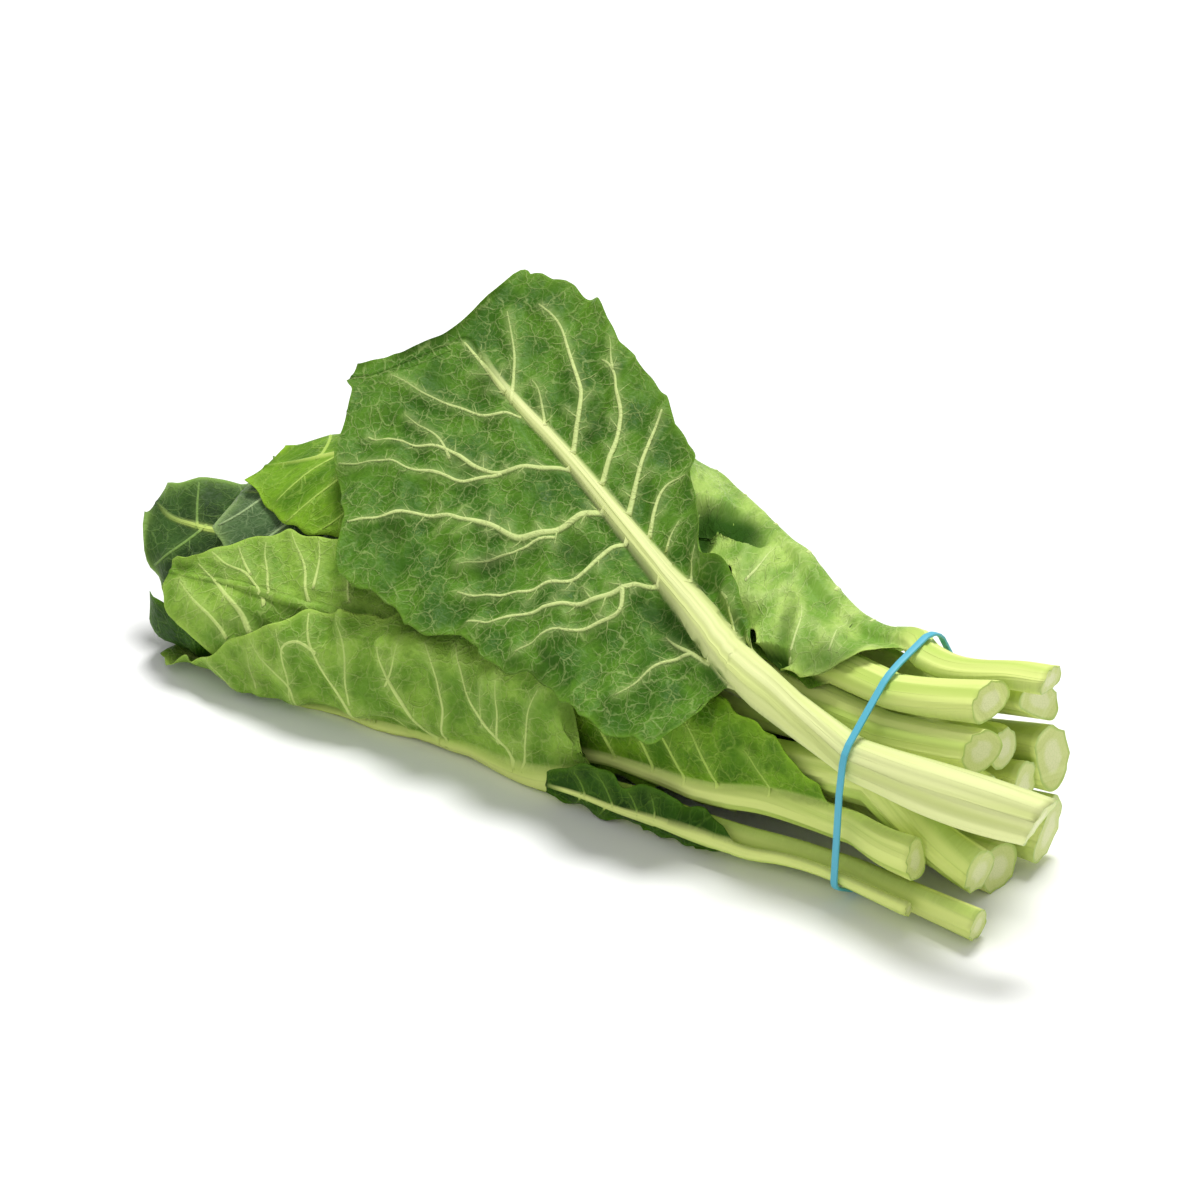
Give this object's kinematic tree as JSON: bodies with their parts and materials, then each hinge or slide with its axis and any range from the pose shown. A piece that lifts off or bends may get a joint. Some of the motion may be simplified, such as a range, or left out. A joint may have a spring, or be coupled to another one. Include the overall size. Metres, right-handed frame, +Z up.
{
  "type": "bunch of collard greens",
  "caption": "Bunch of large veined greens lying on its side: broad waved leaves nested one over another, thick cut stems held together by a rubber band.",
  "frame": {"origin": "on the resting surface, below the centre of the bounding box", "axes": "+X along the bunch towards the cut stems, +Z up from the surface it lies on, -Y the front"},
  "size_m": [0.453, 0.1652, 0.1376],
  "materials": {
    "top_leaf": "waxy leaf, matt",
    "front_outer_leaf": "waxy leaf, matt",
    "front_inner_leaf": "waxy leaf, matt",
    "middle_front_leaf": "waxy leaf, matt",
    "low_small_leaf": "waxy leaf, matt",
    "right_curled_leaf": "waxy leaf, matt",
    "right_back_leaf": "waxy leaf, matt",
    "grey_leaf": "waxy leaf, matt",
    "curled_tip_leaf": "waxy leaf, matt",
    "left_tip_leaf": "waxy leaf, matt",
    "heart_leaf": "waxy leaf, matt",
    "inner_back_leaf": "waxy leaf, matt",
    "back_leaf": "waxy leaf, matt",
    "low_back_leaf": "waxy leaf, matt",
    "under_leaf": "waxy leaf, matt",
    "rubber_band": "smooth satin"
  },
  "bodies": {
    "root": {"top_leaf": "top_leaf", "front_outer_leaf": "front_outer_leaf", "front_inner_leaf": "front_inner_leaf", "middle_front_leaf": "middle_front_leaf", "low_small_leaf": "low_small_leaf", "right_curled_leaf": "right_curled_leaf", "right_back_leaf": "right_back_leaf", "grey_leaf": "grey_leaf", "curled_tip_leaf": "curled_tip_leaf", "left_tip_leaf": "left_tip_leaf", "heart_leaf": "heart_leaf", "inner_back_leaf": "inner_back_leaf", "back_leaf": "back_leaf", "low_back_leaf": "low_back_leaf", "under_leaf": "under_leaf", "rubber_band": "rubber_band"}
  },
  "joints": []
}
